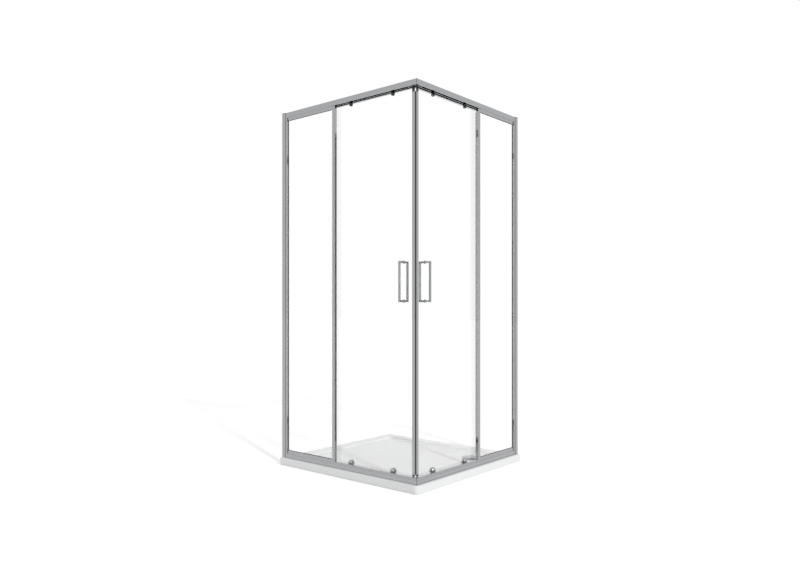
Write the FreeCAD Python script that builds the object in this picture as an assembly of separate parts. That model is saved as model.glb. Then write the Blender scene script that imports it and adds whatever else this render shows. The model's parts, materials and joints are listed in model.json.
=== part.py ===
import FreeCAD, Part
import math
import os

# Square corner-entry shower enclosure on a low tray. Each of the two glazed sides has a fixed pane
# next to the wall and a door that slides behind it; the doors meet at the near corner.
# Millimetres, +Z up. The origin is the middle of the tray's footprint on the floor.
# The walls are the planes x = -TRAY_SIDE / 2 and y = +TRAY_SIDE / 2.
#
# The left side (glazed face towards -Y) is modelled in its own coordinates: s runs along the side
# from the wall to the near corner and equals x, n is the depth behind the outer face of the frame,
# z is the height above the floor. The right side (towards +X) is its mirror image.

# ---------------------------------------------------------------- driving dimensions
# tray
TRAY_SIDE = 900.0
TRAY_HEIGHT = 40.0
TRAY_RIM = 58.0              # flat rim round the basin
TRAY_WALL_RUN = 12.0         # plan width of the basin's sloping wall
TRAY_STEP = 9.0              # rim down to the edge of the basin floor
TRAY_FALL = 6.0              # edge of the floor down to the waste
TRAY_CORNER_R = 20.0         # free corner in plan
TRAY_EDGE_R = 4.0            # free top edges
TRAY_SKIRT = 9.0             # height of the set-back skirt under the lip
TRAY_SKIRT_SET = 3.0         # how far the skirt is set back
BASIN_CORNER_R = 28.0

# waste
WASTE_INSET = 188.0          # waste centre from the free edge and from the wall
WASTE_SUMP = 55.0            # half width of the flat round the waste
WASTE_FLANGE_R = 47.5
WASTE_SLEEVE_R = 30.0
WASTE_SLEEVE_WALL = 2.5
WASTE_OUTLET_R = 26.0        # socket for the trap at the lower end
WASTE_OUTLET_L = 10.0
WASTE_FLANGE_T = 2.5
WASTE_BEVEL = 1.0            # bevel of the flange's edge
WASTE_SINK = 0.5             # flange below the basin
WASTE_SEAL_T = 1.5
WASTE_NUT_R = 42.0
WASTE_NUT_T = 7.0
UNDER_RECESS = 12.0          # recess under the tray for the nut
UNDER_RECESS_R = 60.0
WASTE_TAIL = 3.0             # floor to the lower end of the sleeve
COVER_R = 45.0
COVER_RISE = 5.5             # crown of the dome over its edge
COVER_T = 2.0
COVER_GAP = 4.0              # water gap under the edge of the cover
COVER_FOOT_R = 3.5
COVER_FOOT_SINK = 1.0        # feet let into the wall of the cover
COVER_CROWN_R = 3.0          # small flat on the crown
COVER_FEET = 3
COVER_FEET_TURN = 15.0       # degrees from +X to the first foot
COVER_STEM_R = 4.0
STRAINER_WALL = 1.2
STRAINER_DEPTH = 13.0
STRAINER_GAP = 1.0           # strainer in the sleeve
STRAINER_DROP = 1.0          # edge of the cover down to the edge of the strainer
STRAINER_SLOTS = 12
STRAINER_SLOT_W = 2.2
STRAINER_LAND = 2.5          # bottom and top of the basket left whole beside the slots
STRAINER_FLOOR_LAND = 3.0    # floor of the basket left whole round the stem

# frame
FRAME_HEIGHT = 1800.0
FRAME_INSET = 15.0           # face of the frame behind the tray's free edge
FIXED_WIDTH = 369.0          # wall to the centre of the mullion
GLASS = 5.0
FIXED_GLASS_N = 8.0          # outer face of the fixed pane
FIXED_GLASS_TOP = 12.0       # its upper edge below the top of the rail
DOOR_GLASS_N = 26.0          # outer face of the door pane
WALL = 1.6                   # wall of the extrusions
GASKET = 0.8                 # gasket between pane and channel
GASKET_SHOW = 1.0            # gasket lip past the channel
POST_PROFILE = 24.0          # wall profile, along the side
POST_VISIBLE = 12.0          # upright in front of the wall profile
POST_TUCK = 16.0             # upright inside the wall profile
POST_DEPTH = 16.0            # upright, in depth
POST_POCKET = 10.0           # glass pocket of the upright
SLIDE_GAP = 0.3              # upright in wall profile, and other seats
MULLION_W = 18.0
MULLION_D = 14.0
MULLION_POCKET = 9.0
MULLION_WALL = 1.3
MULLION_BEVEL = 1.0          # outer edges
CAP_PLATE = 3.0              # cap of the wall profile
CAP_PLUG = 4.6               # its plug in the channel

# top rail
TOP_RAIL_H = 26.0
TOP_RAIL_D = 46.0
TOP_DIVIDER_N = 18.4         # outer face of the wall between pane channel and track
TOP_LEDGE_N = 36.0           # free edge of the track ledge
TOP_TRACK_N = 39.0           # middle of the track rib
LIP = 1.4                    # return lips that hold the beads
TOP_BEVEL = 1.8              # upper outer edge
TOP_BEAD = 16.0              # bead below the rail
BEAD_NOSE = 0.8              # lower edge of the leaning bead
BEAD_LEG = 4.8               # legs of the beads inside the rail

# bottom rail
SILL_H = 30.0                # outer half
SILL_D = 42.0
SILL_FACE_H = 17.0           # upright lower part of the face
SILL_TOP_N = 4.0             # the face leans back to here
SILL_CHANNEL = 20.0          # depth of the glazing channel
SILL_TRACK_N = 38.0
SILL_RIB_H = 12.0
SILL_LIP_H = 6.0
SILL_BEAD = 9.0              # bead above the sill at the fixed pane

# doors
DOOR_OVERLAP = 24.0          # mullion centre to the door's trailing glass edge
DOOR_LIFT = 15.0             # tray top to the lower edge of the door pane
DOOR_TOP = 16.0              # upper edge of the door pane below the top of the rail
DOOR_CLEAR = 5.0             # trailing seal to the rail end block when open
ROLLER_INSET = 119.5         # rollers from the pane's vertical edges
LEAD_WIDTH = 16.0            # leading profile on its outer face
LEAD_D = 10.0
LEAD_POCKET = 5.5
LEAD_LOW = 37.0              # tray top to the lower end of the leading profile
LEAD_HIGH = 47.0             # top of the rail down to its upper end
LEAD_PLUG = 7.0              # plug below the profile
GLUE = 0.2
MAGNET_T = 3.2
MAGNET_W = 8.0               # in depth
MAGNET_HALF_GAP = 0.15
TRAIL_SEAL = 10.0
TRAIL_SEAL_T = 1.2
TRAIL_SEAL_NOSE = 4.0
FIN_T = 1.2                  # fin on the mullion, and its base
FIN_BASE = 10.0
SEAL_CLEAR = 2.0             # long seals to the caps above and below

# top rollers
BOSS_DROP = 34.0             # top of the rail to the boss through the pane
BOSS_R = 6.7
BOSS_HOLE_R = 7.0
CAP_R = 8.0
CAP_T = 4.5
CAP_BEVEL = 1.2
WHEEL_LEDGE_GAP = 0.4        # wheel to the track ledge
WHEEL_ROOF_GAP = 2.4         # wheel to the roof of the rail
WHEEL_GROOVE = 2.0           # depth of the groove
WHEEL_W = 5.8
BRACKET_T = 2.5
AXLE_R = 2.5
AXLE_COLLAR = 1.5            # collar over the axle's radius
AXLE_HEAD = 1.9              # head over the axle's radius
AXLE_HEAD_T = 1.5
RUNNING = 0.05               # radial clearance of the wheels on their axles
RIB = 1.6                    # thickness of both track ribs
RIB_CLEAR = 0.5              # rib to the flank of the groove
GROOVE_FLARE = 0.3           # widening of the groove per depth

# bottom rollers
RELEASE_Z = 35.0             # tray top to the boss through the pane
RELEASE_R = 13.0
RELEASE_CAP_T = 5.5
RELEASE_BODY_T = 10.0
RELEASE_TRAVEL = 6.0
HOUSING_BACK = 2.0           # pane to the carriage's slot
SLOT_HALF = 8.6              # half width of the carriage's slot
SLOT_SPARE = 0.5             # lifted carriage to the end of the slot
LOW_WHEEL_R = 8.0
LOW_WHEEL_ROOT_R = 6.5
LOW_WHEEL_W = 5.6
LOW_AXLE_R = 2.0
LOW_AXLE_HEAD = 1.3
LOW_AXLE_HEAD_T = 1.2
BLOCK_OVER_WHEEL = 1.0
CARRIAGE_BLOCK = 8.2         # height of the carriage block
CARRIAGE_BACK = 1.0          # carriage block behind the housing's face
ARM_HALF = 4.5               # half width of the carriage's arm and finger tab
TAB_REACH = 4.5
TAB_STEP = 2.0               # top of the tab under the top of the block
SPRING_NEST = 3.5            # end of the slot to the spring's seat
SPRING_R = 2.4
SPRING_WIRE = 0.5

# handles
HANDLE_INSET = 58.0          # from the pane's leading edge
HANDLE_LOW = 810.0           # tray top to the lower end
HANDLE_LENGTH = 186.0
HANDLE_BAR = 9.0
HANDLE_STANDOFF = 32.0       # pane to the outer face of the grip
HANDLE_ROUND = 1.6
HANDLE_STUD_R = 3.0
HANDLE_HOLE_R = 5.0
HANDLE_WASHER_R = 8.0
HANDLE_WASHER_T = 0.6

# small fasteners and plugs
SCREW_R = 1.9
SCREW_HEAD_R = 3.5
SCREW_LENGTH = 8.0
PAN_HEAD_T = 2.2
SCREW_SLACK = 0.1
SCREW_EDGE = 8.0             # screws to the tips of the tongues and to the wall profile's edge
POST_SCREW_PITCH = 720.0
WALL_HOLE_R = 2.5
WALL_HOLE_OUTER = 800.0      # wall screws from the middle of the height: outer and inner pair
WALL_HOLE_INNER = 270.0
PLUG = 12.0                  # length of the moulded plugs
TONGUE = 22.0                # rail tongues of the end blocks
CORNER_TONGUE = 60.0         # rail tongues of the corner pieces
MITRE_HALF = 1.0             # half the thickness of the corner pieces in the mitre
FIT = 0.2                    # plugs and tongues in the extrusions
STOP_LENGTH = 10.0
STOP_HEIGHT = 13.0
OVER = 1.0                   # how far cutters run past what they cut

# ---------------------------------------------------------------- derived places
EDGE = TRAY_SIDE / 2.0
FACE = EDGE - FRAME_INSET            # outer face of the frame from the origin
WALL_S = -EDGE
Z0 = TRAY_HEIGHT
ZTOP = Z0 + FRAME_HEIGHT
ROOT2 = math.sqrt(2.0)

MULLION_S = WALL_S + FIXED_WIDTH
MULLION_S0 = MULLION_S - MULLION_W / 2.0
MULLION_S1 = MULLION_S + MULLION_W / 2.0
PROFILE_S = WALL_S + POST_PROFILE    # free edges of the wall profile
RAIL_S = PROFILE_S + POST_VISIBLE    # the rails start here
POST_S = PROFILE_S - POST_TUCK
CHANNEL_N0 = FIXED_GLASS_N - GASKET
CHANNEL_N1 = FIXED_GLASS_N + GLASS + GASKET
MULLION_N0 = (CHANNEL_N0 + CHANNEL_N1 - MULLION_D) / 2.0
MULLION_N1 = MULLION_N0 + MULLION_D

RAIL_Z = ZTOP - TOP_RAIL_H
SILL_Z = Z0 + SILL_H
CHANNEL_Z = SILL_Z - SILL_CHANNEL
BEAD_LOW_Z = SILL_Z + SILL_BEAD      # top of the lower bead and of the lower end block
BEAD_HIGH_Z = RAIL_Z - TOP_BEAD      # underside of the upper bead

PANE_S0 = RAIL_S - POST_POCKET + GASKET
PANE_S1 = MULLION_S0 + MULLION_POCKET - GASKET
PANE_Z0 = CHANNEL_Z + GASKET
PANE_Z1 = ZTOP - FIXED_GLASS_TOP

DOOR_N1 = DOOR_GLASS_N + GLASS
LEAD_N0 = DOOR_GLASS_N + (GLASS - LEAD_D) / 2.0
LEAD_N1 = LEAD_N0 + LEAD_D
LEAD_CUT = (MAGNET_HALF_GAP + MAGNET_T) * ROOT2
LEAD_S0 = FACE - LEAD_N0 - LEAD_CUT - LEAD_WIDTH
DOOR_S0 = MULLION_S - DOOR_OVERLAP
DOOR_S1 = LEAD_S0 + LEAD_POCKET - GLUE
DOOR_Z0 = Z0 + DOOR_LIFT
DOOR_Z1 = ZTOP - DOOR_TOP
TRAIL_S0 = DOOR_S0 - TRAIL_SEAL_NOSE
DOOR_TRAVEL = TRAIL_S0 - RAIL_S - DOOR_CLEAR
ROLLER_S = (DOOR_S0 + ROLLER_INSET, DOOR_S1 - ROLLER_INSET)
HANDLE_S = DOOR_S1 - HANDLE_INSET

BOSS_Z = ZTOP - BOSS_DROP
WHEEL_R = (TOP_RAIL_H - 2 * WALL - WHEEL_LEDGE_GAP - WHEEL_ROOF_GAP) / 2.0
WHEEL_ROOT_R = WHEEL_R - WHEEL_GROOVE
WHEEL_Z = RAIL_Z + WALL + WHEEL_LEDGE_GAP + WHEEL_R
TRACK_Z = WHEEL_Z - WHEEL_ROOT_R - SLIDE_GAP
WHEEL_N0 = TOP_TRACK_N - WHEEL_W / 2.0
WHEEL_N1 = TOP_TRACK_N + WHEEL_W / 2.0
RELEASE_MID_Z = Z0 + RELEASE_Z
LOW_TRACK_Z = Z0 + SILL_RIB_H
LOW_WHEEL_Z = LOW_TRACK_Z + LOW_WHEEL_ROOT_R + SLIDE_GAP
SEAL_Z0 = RELEASE_MID_Z + RELEASE_R + SEAL_CLEAR
SEAL_Z1 = BOSS_Z - CAP_R - SEAL_CLEAR
LOW_WHEEL_N0 = SILL_TRACK_N - LOW_WHEEL_W / 2.0
LOW_WHEEL_N1 = SILL_TRACK_N + LOW_WHEEL_W / 2.0

WASTE_X = EDGE - WASTE_INSET
WASTE_Z = TRAY_HEIGHT - TRAY_STEP - TRAY_FALL
FLANGE_Z = WASTE_Z - WASTE_SINK             # top of the waste's flange
WASTE_SEAL_Z = FLANGE_Z - WASTE_FLANGE_T   # top of the rubber seal
SEAT_Z = WASTE_SEAL_Z - WASTE_SEAL_T

Vec = FreeCAD.Vector
UP = Vec(0, 0, 1)
INWARD = Vec(0, 1, 0)                # direction of n on the left side


# ---------------------------------------------------------------- shape helpers
def box(s0, s1, n0, n1, z0, z1):
    return Part.makeBox(s1 - s0, n1 - n0, z1 - z0, Vec(s0, n0 - FACE, z0))


def rod(s, z, radius, n0, n1):
    """Cylinder across the side, from depth n0 to n1."""
    return Part.makeCylinder(radius, n1 - n0, Vec(s, n0 - FACE, z), INWARD)


def disc(x, y, radius, z0, z1):
    return Part.makeCylinder(radius, z1 - z0, Vec(x, y, z0), UP)


def polygon(points):
    return Part.Face(Part.makePolygon(points + [points[0]]))


def along(section, s0, s1):
    """Extrusion of an (n, z) outline along the side."""
    return polygon([Vec(s0, n - FACE, z) for n, z in section]).extrude(Vec(s1 - s0, 0, 0))


def standing(section, z0, z1):
    """Extrusion of an (s, n) outline upwards."""
    return polygon([Vec(s, n - FACE, z0) for s, n in section]).extrude(Vec(0, 0, z1 - z0))


def turned(profile, s, z):
    """Solid of revolution about an axis across the side, from (radius, n) points."""
    face = polygon([Vec(s + r, n - FACE, z) for r, n in profile])
    return face.revolve(Vec(s, -FACE, z), INWARD, 360)


def turned_up(profile, x, y):
    """Solid of revolution about a vertical axis, from (radius, z) points."""
    face = polygon([Vec(x + r, y, z) for r, z in profile])
    return face.revolve(Vec(x, y, 0), UP, 360)


def ring_profile(inner, outer, low, high):
    return [(inner, low), (outer, low), (outer, high), (inner, high)]


def united(shapes):
    return shapes[0].multiFuse(shapes[1:]).removeSplitter()


def rounded_edges(shape, radius, wanted):
    """Fillet on the edges that the test picks."""
    return shape.makeFillet(radius, [edge for edge in shape.Edges if wanted(edge.BoundBox)])


def past_mitre(gap):
    """Everything that lies past the mitre plane of the near corner, less a gap on this side."""
    shift = gap * ROOT2
    reach = 4.0 * TRAY_SIDE
    plan = [(-reach, reach - shift), (reach, -reach - shift), (2 * reach, -shift), (0.0, 2 * reach - shift)]
    return polygon([Vec(x, y, -reach) for x, y in plan]).extrude(Vec(0, 0, 2 * reach))


def mirrored(shape):
    """The same piece on the right side."""
    return shape.mirror(Vec(0, 0, 0), Vec(1, 1, 0))


def both_sides(shapes):
    return list(shapes) + [mirrored(shape) for shape in shapes]


# ---------------------------------------------------------------- tray
def rounded_square(half, radius, z, x=0.0, y=0.0):
    """Closed wire: a square with round corners."""
    edges = []
    for turn in range(4):
        spin = FreeCAD.Rotation(UP, 90 * turn)
        centre = Vec(x, y, z)
        corner = Vec(half - radius, half - radius, 0)
        start = Vec(half, -half + radius, 0)
        end = Vec(half, half - radius, 0)
        middle = corner + Vec(radius / ROOT2, radius / ROOT2, 0)
        far = Vec(half - radius, half, 0)
        place = [centre + spin.multVec(point) for point in (start, end, middle, far)]
        edges.append(Part.LineSegment(place[0], place[1]).toShape())
        edges.append(Part.Arc(place[1], place[2], place[3]).toShape())
    return Part.Wire(edges)


def basin_hollow():
    """Sloping walls down to the floor, and the floor's fall to the waste."""
    rim = EDGE - TRAY_RIM
    floor_z = TRAY_HEIGHT - TRAY_STEP
    top = rounded_square(rim, BASIN_CORNER_R, TRAY_HEIGHT)
    edge = rounded_square(rim - TRAY_WALL_RUN, BASIN_CORNER_R - TRAY_WALL_RUN / 2.0, floor_z)
    sump = rounded_square(WASTE_SUMP, BASIN_CORNER_R - TRAY_WALL_RUN / 2.0, WASTE_Z, WASTE_X, WASTE_X)
    return Part.makeLoft([top, edge], True, True), Part.makeLoft([edge, sump], True, True)


def shower_tray():
    lip = Part.makeBox(TRAY_SIDE, TRAY_SIDE, TRAY_HEIGHT - TRAY_SKIRT, Vec(-EDGE, -EDGE, TRAY_SKIRT))
    skirt_side = TRAY_SIDE - TRAY_SKIRT_SET
    skirt = Part.makeBox(skirt_side, skirt_side, TRAY_SKIRT, Vec(-EDGE, -EDGE + TRAY_SKIRT_SET, 0))

    def at_corner(inset):
        def test(bounds):
            upright = bounds.ZLength > 1.0
            return upright and abs(bounds.XMax - EDGE + inset) < 0.01 and abs(bounds.YMin + EDGE - inset) < 0.01
        return test

    def free_top(bounds):
        level = abs(bounds.ZMin - TRAY_HEIGHT) < 0.01
        at_wall = bounds.XMax < -EDGE + 0.01 or bounds.YMin > EDGE - 0.01
        return level and not at_wall

    lip = rounded_edges(lip, TRAY_CORNER_R, at_corner(0.0))
    lip = rounded_edges(lip, TRAY_EDGE_R, free_top)
    skirt = rounded_edges(skirt, TRAY_CORNER_R - TRAY_SKIRT_SET, at_corner(TRAY_SKIRT_SET))
    tray = lip.fuse(skirt)
    for hollow in basin_hollow():
        tray = tray.cut(hollow)
    waste_seat = disc(WASTE_X, WASTE_X, WASTE_FLANGE_R + SLIDE_GAP, SEAT_Z, TRAY_HEIGHT)
    waste_hole = disc(WASTE_X, WASTE_X, WASTE_SLEEVE_R + 2 * SLIDE_GAP, -OVER, TRAY_HEIGHT)
    recess = disc(WASTE_X, WASTE_X, UNDER_RECESS_R, -OVER, UNDER_RECESS)
    return tray.cut(waste_seat).cut(waste_hole).cut(recess)


# ---------------------------------------------------------------- waste
def waste_body():
    bore = WASTE_SLEEVE_R - WASTE_SLEEVE_WALL
    step = WASTE_TAIL + WASTE_OUTLET_L
    profile = [(WASTE_OUTLET_R, WASTE_TAIL), (WASTE_SLEEVE_R, WASTE_TAIL), (WASTE_SLEEVE_R, WASTE_SEAL_Z),
               (WASTE_FLANGE_R, WASTE_SEAL_Z), (WASTE_FLANGE_R, FLANGE_Z - WASTE_BEVEL),
               (WASTE_FLANGE_R - WASTE_BEVEL, FLANGE_Z),
               (bore, FLANGE_Z), (bore, step), (WASTE_OUTLET_R, step)]
    return turned_up(profile, WASTE_X, WASTE_X)


def waste_seal():
    inner = WASTE_SLEEVE_R + SLIDE_GAP
    return turned_up(ring_profile(inner, WASTE_FLANGE_R - WASTE_BEVEL, SEAT_Z, WASTE_SEAL_Z), WASTE_X, WASTE_X)


def waste_nut():
    """Six-sided clamping nut against the ceiling of the recess."""
    low = UNDER_RECESS - WASTE_NUT_T
    plan = [Vec(WASTE_X + WASTE_NUT_R * math.cos(math.radians(60 * i)),
                WASTE_X + WASTE_NUT_R * math.sin(math.radians(60 * i)), low) for i in range(6)]
    nut = polygon(plan).extrude(Vec(0, 0, WASTE_NUT_T))
    return nut.cut(disc(WASTE_X, WASTE_X, WASTE_SLEEVE_R + SLIDE_GAP, low - OVER, UNDER_RECESS + OVER))


STRAINER_R = WASTE_SLEEVE_R - WASTE_SLEEVE_WALL - STRAINER_GAP
COVER_Z = FLANGE_Z + COVER_GAP       # lower edge of the cover
BASKET_Z = COVER_Z - STRAINER_DROP   # upper edge of the strainer


def waste_cover():
    """Shallow dome on feet, with a stem that carries the strainer."""
    radius = (COVER_R * COVER_R + COVER_RISE * COVER_RISE) / (2.0 * COVER_RISE)
    centre_z = COVER_Z + COVER_T + COVER_RISE - radius

    def on_dome(r, ball_radius):
        return Vec(WASTE_X + r, WASTE_X, centre_z + math.sqrt(ball_radius * ball_radius - r * r))

    def edge_point(r, z):
        return Vec(WASTE_X + r, WASTE_X, z)

    inner = radius - COVER_T
    wall_r = COVER_R - COVER_T
    outside = [on_dome(r, radius) for r in (COVER_CROWN_R, COVER_R / 2.0, COVER_R)]
    inside = [on_dome(r, inner) for r in (wall_r, COVER_R / 2.0, COVER_CROWN_R)]
    crown, ceiling = outside[0].z, inside[2].z
    outline = [Part.LineSegment(edge_point(0, crown), outside[0]), Part.Arc(*outside),
               Part.LineSegment(outside[2], edge_point(COVER_R, COVER_Z)),
               Part.LineSegment(edge_point(COVER_R, COVER_Z), edge_point(wall_r, COVER_Z)),
               Part.LineSegment(edge_point(wall_r, COVER_Z), inside[0]), Part.Arc(*inside),
               Part.LineSegment(inside[2], edge_point(0, ceiling)),
               Part.LineSegment(edge_point(0, ceiling), edge_point(0, crown))]
    face = Part.Face(Part.Wire([line.toShape() for line in outline]))
    dome = face.revolve(Vec(WASTE_X, WASTE_X, 0), UP, 360)
    reach = wall_r - COVER_FOOT_R + COVER_FOOT_SINK
    feet = []
    for turn in range(COVER_FEET):
        angle = math.radians(360.0 * turn / COVER_FEET + COVER_FEET_TURN)
        x = WASTE_X + reach * math.cos(angle)
        y = WASTE_X + reach * math.sin(angle)
        feet.append(disc(x, y, COVER_FOOT_R, FLANGE_Z + SLIDE_GAP, COVER_Z + COVER_T))
    stem = disc(WASTE_X, WASTE_X, COVER_STEM_R, BASKET_Z, crown - COVER_T / 2.0)
    return united([dome, stem] + feet)


def hair_strainer():
    """Slotted basket that hangs from the stem of the cover."""
    low = BASKET_Z - STRAINER_DEPTH
    inside = STRAINER_R - STRAINER_WALL
    basket = disc(WASTE_X, WASTE_X, STRAINER_R, low, BASKET_Z)
    basket = basket.cut(disc(WASTE_X, WASTE_X, inside, low + STRAINER_WALL, BASKET_Z + OVER))
    basket = basket.fuse(disc(WASTE_X, WASTE_X, COVER_STEM_R, low, BASKET_Z))
    start = COVER_STEM_R + STRAINER_FLOOR_LAND
    end = inside - STRAINER_LAND
    for turn in range(STRAINER_SLOTS):
        slot = Part.makeBox(STRAINER_WALL + 2 * OVER, STRAINER_SLOT_W, STRAINER_DEPTH - 2 * STRAINER_LAND,
                            Vec(inside - OVER, -STRAINER_SLOT_W / 2.0, low + STRAINER_LAND))
        hole = Part.makeBox(end - start, STRAINER_SLOT_W, STRAINER_WALL + 2 * OVER,
                            Vec(start, -STRAINER_SLOT_W / 2.0, low - OVER))
        for cutter in (slot, hole):
            cutter.rotate(Vec(0, 0, 0), UP, 360.0 * turn / STRAINER_SLOTS)
            cutter.translate(Vec(WASTE_X, WASTE_X, 0))
            basket = basket.cut(cutter)
    return basket.removeSplitter()


# ---------------------------------------------------------------- screws
def flush_screw(s, n, z_face, down, slack=0.0):
    """Countersunk screw square to a level face; down is -1 from a top face, +1 from an underside."""
    shank = Part.makeCylinder(SCREW_R + slack, SCREW_LENGTH, Vec(s, n - FACE, z_face), Vec(0, 0, down))
    head = Part.makeCone(SCREW_HEAD_R + slack, SCREW_R + slack, WALL, Vec(s, n - FACE, z_face),
                         Vec(0, 0, down))
    return shank.fuse(head)


def pan_screw(s, z, n_face, slack=0.0):
    """Pan-head screw driven outwards from the inner face n_face."""
    shank = rod(s, z, SCREW_R + slack, n_face - SCREW_LENGTH, n_face)
    head = rod(s, z, SCREW_HEAD_R, n_face, n_face + PAN_HEAD_T)
    return shank if slack else shank.fuse(head)


CORNER_SCREW_S = FACE - CORNER_TONGUE + SCREW_EDGE
END_SCREW_S = RAIL_S + TONGUE - SCREW_EDGE
CORNER_SCREW_N = (LIP + WALL + TOP_DIVIDER_N) / 2.0
TOP_SCREWS = [(CORNER_SCREW_S, CORNER_SCREW_N), (END_SCREW_S, CORNER_SCREW_N)]
LOW_SCREWS = [(CORNER_SCREW_S, CHANNEL_N0), (END_SCREW_S, CHANNEL_N0)]
POST_SCREW_S = PROFILE_S - SCREW_EDGE
MIDDLE_Z = Z0 + FRAME_HEIGHT / 2.0
POST_SCREW_Z = (MIDDLE_Z - POST_SCREW_PITCH, MIDDLE_Z, MIDDLE_Z + POST_SCREW_PITCH)
WALL_HOLE_Z = tuple(MIDDLE_Z + step for step in (-WALL_HOLE_OUTER, -WALL_HOLE_INNER, WALL_HOLE_INNER,
                                                 WALL_HOLE_OUTER))
PROFILE_N0 = -SLIDE_GAP - WALL
PROFILE_N1 = POST_DEPTH + SLIDE_GAP + WALL


def frame_screws():
    screws = [flush_screw(s, n, ZTOP, -1) for s, n in TOP_SCREWS]
    screws += [flush_screw(s, n, Z0, 1) for s, n in LOW_SCREWS]
    screws += [pan_screw(POST_SCREW_S, z, PROFILE_N1) for z in POST_SCREW_Z]
    return both_sides(screws)


# ---------------------------------------------------------------- uprights
def wall_profile():
    outline = [(WALL_S, PROFILE_N0), (PROFILE_S, PROFILE_N0), (PROFILE_S, -SLIDE_GAP),
               (WALL_S + WALL, -SLIDE_GAP), (WALL_S + WALL, POST_DEPTH + SLIDE_GAP),
               (PROFILE_S, POST_DEPTH + SLIDE_GAP), (PROFILE_S, PROFILE_N1), (WALL_S, PROFILE_N1)]
    profile = standing(outline, Z0, ZTOP - CAP_PLATE)
    for z in WALL_HOLE_Z:
        mouth = Vec(WALL_S - OVER, POST_DEPTH / 2.0 - FACE, z)
        profile = profile.cut(Part.makeCylinder(WALL_HOLE_R, WALL + 2 * OVER, mouth, Vec(1, 0, 0)))
    for z in POST_SCREW_Z:
        profile = profile.cut(pan_screw(POST_SCREW_S, z, PROFILE_N1, SCREW_SLACK))
    return profile


def wall_profile_cap():
    """Moulded cap on top of a wall profile, with a plug inside its channel."""
    seat = ZTOP - CAP_PLATE
    plate = box(WALL_S, PROFILE_S, PROFILE_N0, PROFILE_N1, seat, ZTOP)
    plug = box(WALL_S + WALL + FIT, PROFILE_S - FIT, 0.0, POST_DEPTH, seat - CAP_PLUG, seat)
    return united([plate, plug])


def frame_upright():
    outer = box(POST_S, RAIL_S, 0.0, POST_DEPTH, BEAD_LOW_Z, RAIL_Z)
    pocket = box(RAIL_S - POST_POCKET, RAIL_S + OVER, CHANNEL_N0, CHANNEL_N1, Z0, ZTOP)
    chamber = box(POST_S + WALL, RAIL_S - POST_POCKET - WALL, WALL, POST_DEPTH - WALL, Z0, ZTOP)
    upright = outer.cut(pocket).cut(chamber)
    for z in POST_SCREW_Z:
        upright = upright.cut(pan_screw(POST_SCREW_S, z, PROFILE_N1, SCREW_SLACK))
    return upright


def mullion():
    outline = [(MULLION_S0, MULLION_N0 + MULLION_BEVEL), (MULLION_S0 + MULLION_BEVEL, MULLION_N0),
               (MULLION_S1 - MULLION_BEVEL, MULLION_N0), (MULLION_S1, MULLION_N0 + MULLION_BEVEL),
               (MULLION_S1, MULLION_N1), (MULLION_S0, MULLION_N1)]
    outer = standing(outline, SILL_Z, RAIL_Z)
    pocket = box(MULLION_S0 - OVER, MULLION_S0 + MULLION_POCKET, CHANNEL_N0, CHANNEL_N1, Z0, ZTOP)
    return outer.cut(pocket).cut(mullion_chamber(0.0, Z0, ZTOP))


def mullion_chamber(gap, z0, z1):
    return box(MULLION_S0 + MULLION_POCKET + MULLION_WALL + gap, MULLION_S1 - MULLION_WALL - gap,
               MULLION_N0 + MULLION_WALL + gap, MULLION_N1 - MULLION_WALL - gap, z0, z1)


def mullion_plugs():
    """Plugs that join a mullion to the sill's channel and to the top rail."""
    s0 = MULLION_S0 + MULLION_POCKET + MULLION_WALL + FIT
    s1 = MULLION_S1 - MULLION_WALL - FIT
    foot = box(s0, s1, CHANNEL_N0 + FIT, CHANNEL_N1 - FIT, CHANNEL_Z + FIT, SILL_Z)
    head = box(s0, s1, WALL + LIP + FIT, TOP_DIVIDER_N - LIP - FIT, RAIL_Z, RAIL_Z + PLUG)
    low = united([foot, mullion_chamber(FIT, SILL_Z, SILL_Z + PLUG)])
    high = united([head, mullion_chamber(FIT, RAIL_Z - PLUG, RAIL_Z)])
    return [low, high]


def mullion_seal():
    """Soft fin from the mullion's back to the door pane."""
    half, base_half = FIN_T / 2.0, FIN_BASE / 2.0
    base = box(MULLION_S - base_half, MULLION_S + base_half, MULLION_N1, MULLION_N1 + FIN_T, SEAL_Z0, SEAL_Z1)
    fin = box(MULLION_S - half, MULLION_S + half, MULLION_N1, DOOR_GLASS_N - SLIDE_GAP, SEAL_Z0, SEAL_Z1)
    return united([base, fin])


# ---------------------------------------------------------------- rails
def top_rail_section():
    """Outer wall, top, divider and the inner wall with its track ledge, as (n, z) outlines."""
    roof = ZTOP - WALL
    inner = TOP_RAIL_D - WALL
    divider = TOP_DIVIDER_N + WALL
    sill = RAIL_Z + WALL
    return [
        [(0, RAIL_Z), (WALL + LIP, RAIL_Z), (WALL + LIP, sill), (WALL, sill), (WALL, ZTOP), (0, ZTOP)],
        [(0, roof), (TOP_RAIL_D, roof), (TOP_RAIL_D, ZTOP), (0, ZTOP)],
        [(TOP_DIVIDER_N - LIP, RAIL_Z), (divider, RAIL_Z), (divider, ZTOP), (TOP_DIVIDER_N, ZTOP),
         (TOP_DIVIDER_N, sill), (TOP_DIVIDER_N - LIP, sill)],
        [(TOP_LEDGE_N, RAIL_Z), (TOP_RAIL_D, RAIL_Z), (TOP_RAIL_D, ZTOP), (inner, ZTOP), (inner, sill),
         (TOP_LEDGE_N, sill)],
        [(TOP_TRACK_N - RIB / 2, RAIL_Z), (TOP_TRACK_N + RIB / 2, RAIL_Z), (TOP_TRACK_N + RIB / 2, TRACK_Z),
         (TOP_TRACK_N - RIB / 2, TRACK_Z)],
    ]


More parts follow.
